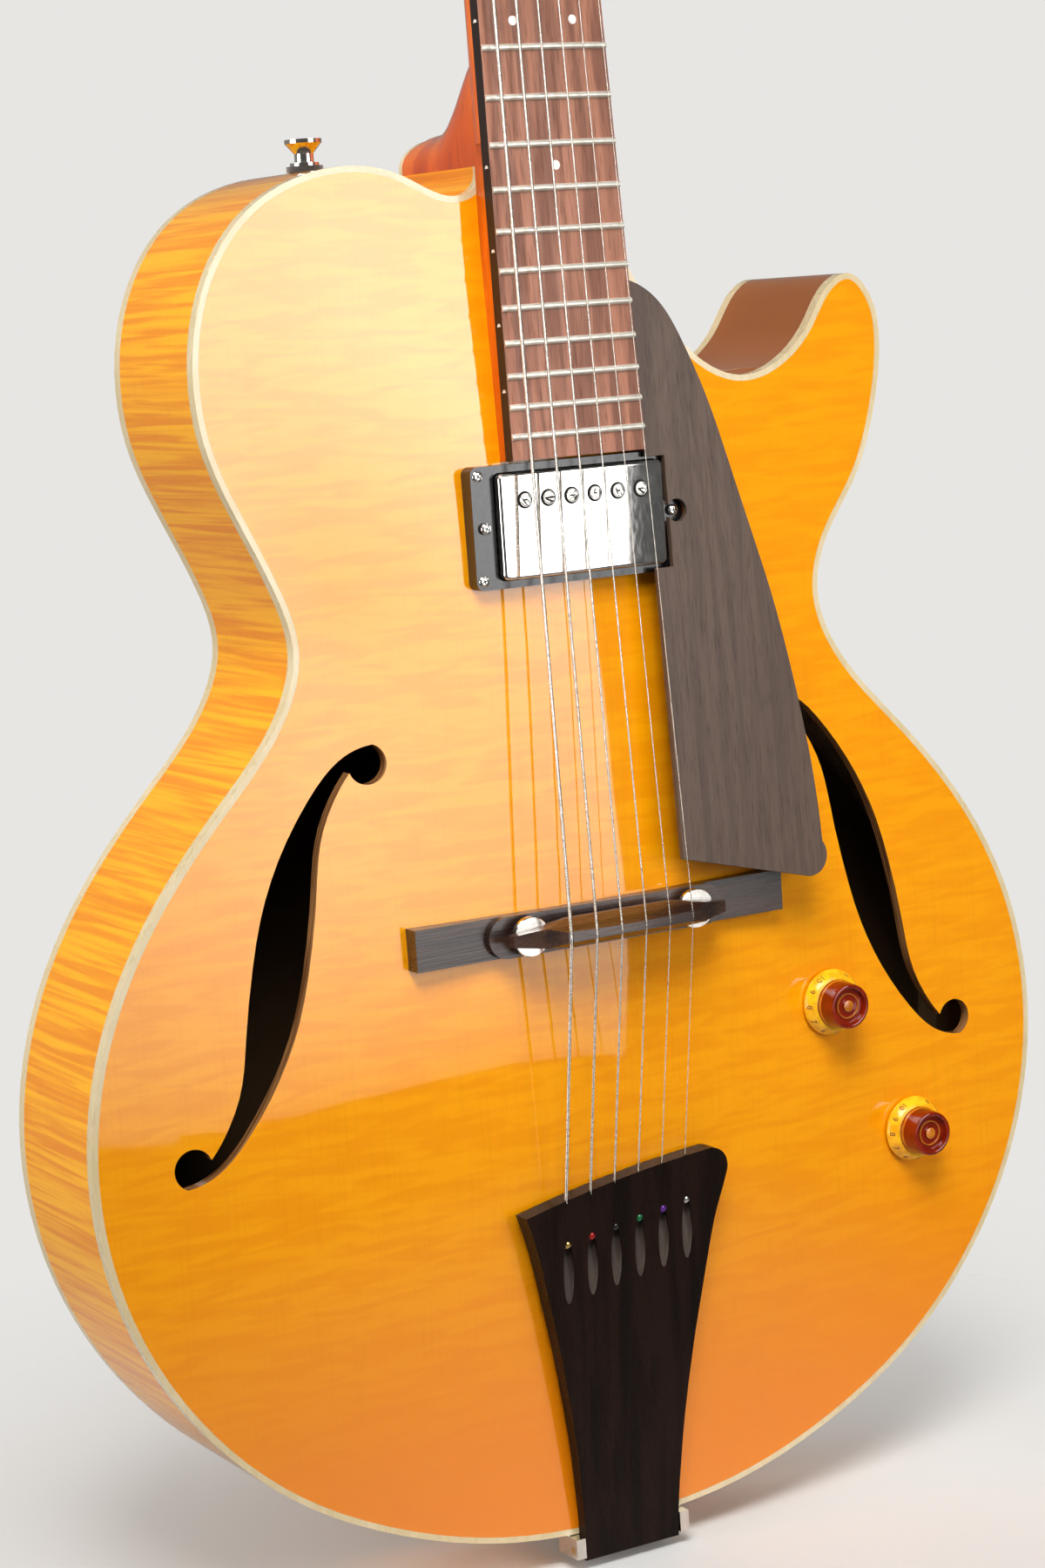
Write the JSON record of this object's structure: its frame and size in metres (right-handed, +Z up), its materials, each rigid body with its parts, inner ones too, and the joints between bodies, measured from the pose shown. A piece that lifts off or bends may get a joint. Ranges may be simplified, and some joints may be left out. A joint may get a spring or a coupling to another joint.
{
  "type": "archtop guitar",
  "caption": "Hollow-body electric archtop guitar with arched top, f-shaped sound holes, a rounded cutaway, neck pickup, floating bridge and wooden tailpiece.",
  "frame": {"origin": "middle of the waist of the strap button at the tail", "axes": "+Z up the neck, the arched top faces -Y, the treble side is +X"},
  "size_m": [0.413, 0.1149, 1.0606],
  "materials": {
    "top_maple": "gloss lacquer",
    "back_maple": "gloss lacquer",
    "side_maple": "gloss lacquer",
    "inner_wood": "bare",
    "cream_binding": "gloss",
    "mahogany": "gloss lacquer",
    "rosewood": "satin",
    "ebony": "satin",
    "bone": "polished",
    "nickel": "polished",
    "string_steel": "drawn",
    "black_plastic": "gloss",
    "coil_plastic": "matte",
    "amber_plastic": "clear gloss",
    "pearl_dot": "gloss",
    "brass_hinge": "polished",
    "zinc_pot": "plain",
    "black_felt": "felt"
  },
  "bodies": {
    "guitar": {"back_binding": "cream_binding", "back_plate": "back_maple", "bridge_base": "ebony", "bridge_posts": "nickel", "control_pots": "zinc_pot", "fingerboard": "rosewood", "fixing_screws": "nickel", "frets": "nickel", "headstock_veneer": "ebony", "heel_cap": "cream_binding", "linings": "inner_wood", "neck": "mahogany", "neck_block": "inner_wood", "nut": "bone", "output_jack": "nickel", "pickguard": "ebony", "pickguard_supports": "ebony", "pickup_ring": "black_plastic", "position_dots": "pearl_dot", "rim": "side_maple", "strap_buttons": "nickel", "strap_washers": "black_felt", "string_1": "string_steel", "string_2": "string_steel", "string_3": "string_steel", "string_4": "string_steel", "string_5": "string_steel", "string_6": "string_steel", "tail_block": "inner_wood", "tailpiece": "ebony", "tailpiece_hanger": "brass_hinge", "tailpiece_pin": "brass_hinge", "tone_bars": "inner_wood", "top_binding": "cream_binding", "top_plate": "top_maple", "truss_rod_cover": "black_plastic", "tuner_bushings": "nickel", "tuner_housings": "nickel"},
    "volume_knob": {"volume_knob": "amber_plastic", "volume_shaft": "brass_hinge"},
    "tone_knob": {"tone_knob": "amber_plastic", "tone_shaft": "brass_hinge"},
    "saddle": {"bridge_saddle": "ebony"},
    "wheel_bass": {"thumbwheel_bass": "nickel"},
    "wheel_treble": {"thumbwheel_treble": "nickel"},
    "pickup": {"pickup_cover": "nickel", "pickup_core": "coil_plastic", "pole_screws": "nickel"},
    "post_1": {"tuner_post_1": "nickel"},
    "button_1": {"tuner_button_1": "nickel"},
    "post_2": {"tuner_post_2": "nickel"},
    "button_2": {"tuner_button_2": "nickel"},
    "post_3": {"tuner_post_3": "nickel"},
    "button_3": {"tuner_button_3": "nickel"},
    "post_4": {"tuner_post_4": "nickel"},
    "button_4": {"tuner_button_4": "nickel"},
    "post_5": {"tuner_post_5": "nickel"},
    "button_5": {"tuner_button_5": "nickel"},
    "post_6": {"tuner_post_6": "nickel"},
    "button_6": {"tuner_button_6": "nickel"}
  },
  "joints": [
    {"name": "volume_knob_turn", "type": "hinge", "parent": "guitar", "child": "volume_knob", "pos_m": [0.1049, -0.04303, 0.1955], "axis": [0, 1, 0], "range_deg": [-150, 150]},
    {"name": "tone_knob_turn", "type": "hinge", "parent": "guitar", "child": "tone_knob", "pos_m": [0.1435, -0.03969, 0.1371], "axis": [0, 1, 0], "range_deg": [-150, 150]},
    {"name": "bridge_height", "type": "slide", "parent": "guitar", "child": "saddle", "axis": [0, 1, 0], "range_m": [0, 0.0022]},
    {"name": "thumbwheel_bass_turn", "type": "hinge", "parent": "saddle", "child": "wheel_bass", "pos_m": [-0.036, -0.05415, 0.2448], "axis": [0, 1, 0], "range_deg": [-30, 1161.4]},
    {"name": "thumbwheel_treble_turn", "type": "hinge", "parent": "saddle", "child": "wheel_treble", "pos_m": [0.036, -0.05415, 0.2448], "axis": [0, 1, 0], "range_deg": [-30, 1161.4]},
    {"name": "pickup_height", "type": "slide", "parent": "guitar", "child": "pickup", "axis": [0, 1, 0], "range_m": [-0.0015, 0.003]},
    {"name": "post_1_turn", "type": "hinge", "parent": "guitar", "child": "post_1", "pos_m": [-0.02284, -0.00627, 0.91576], "axis": [0, -0.9564, 0.292], "continuous": true},
    {"name": "button_1_turn", "type": "hinge", "parent": "guitar", "child": "button_1", "pos_m": [-0.03393, 0.00793, 0.91143], "axis": [-1, 0, 0], "continuous": true},
    {"name": "post_2_turn", "type": "hinge", "parent": "guitar", "child": "post_2", "pos_m": [-0.02415, 0.0057, 0.95498], "axis": [0, -0.9564, 0.292], "continuous": true},
    {"name": "button_2_turn", "type": "hinge", "parent": "guitar", "child": "button_2", "pos_m": [-0.03524, 0.01991, 0.95064], "axis": [-1, 0, 0], "continuous": true},
    {"name": "post_3_turn", "type": "hinge", "parent": "guitar", "child": "post_3", "pos_m": [-0.02546, 0.01768, 0.99419], "axis": [0, -0.9564, 0.292], "continuous": true},
    {"name": "button_3_turn", "type": "hinge", "parent": "guitar", "child": "button_3", "pos_m": [-0.03656, 0.03188, 0.98985], "axis": [-1, 0, 0], "continuous": true},
    {"name": "post_4_turn", "type": "hinge", "parent": "guitar", "child": "post_4", "pos_m": [0.02546, 0.01768, 0.99419], "axis": [0, -0.9564, 0.292], "continuous": true},
    {"name": "button_4_turn", "type": "hinge", "parent": "guitar", "child": "button_4", "pos_m": [0.03656, 0.03188, 0.98985], "axis": [1, 0, 0], "continuous": true},
    {"name": "post_5_turn", "type": "hinge", "parent": "guitar", "child": "post_5", "pos_m": [0.02415, 0.0057, 0.95498], "axis": [0, -0.9564, 0.292], "continuous": true},
    {"name": "button_5_turn", "type": "hinge", "parent": "guitar", "child": "button_5", "pos_m": [0.03524, 0.01991, 0.95064], "axis": [1, 0, 0], "continuous": true},
    {"name": "post_6_turn", "type": "hinge", "parent": "guitar", "child": "post_6", "pos_m": [0.02284, -0.00627, 0.91576], "axis": [0, -0.9564, 0.292], "continuous": true},
    {"name": "button_6_turn", "type": "hinge", "parent": "guitar", "child": "button_6", "pos_m": [0.03393, 0.00793, 0.91143], "axis": [1, 0, 0], "continuous": true}
  ],
  "couplings": [
    {"joint": "thumbwheel_bass_turn", "follows": "bridge_height", "rad_per_m": 8976},
    {"joint": "thumbwheel_treble_turn", "follows": "bridge_height", "rad_per_m": 8976},
    {"joint": "post_1_turn", "follows": "button_1_turn", "ratio": 0.055556},
    {"joint": "post_2_turn", "follows": "button_2_turn", "ratio": 0.055556},
    {"joint": "post_3_turn", "follows": "button_3_turn", "ratio": 0.055556},
    {"joint": "post_4_turn", "follows": "button_4_turn", "ratio": 0.055556},
    {"joint": "post_5_turn", "follows": "button_5_turn", "ratio": 0.055556},
    {"joint": "post_6_turn", "follows": "button_6_turn", "ratio": 0.055556}
  ]
}
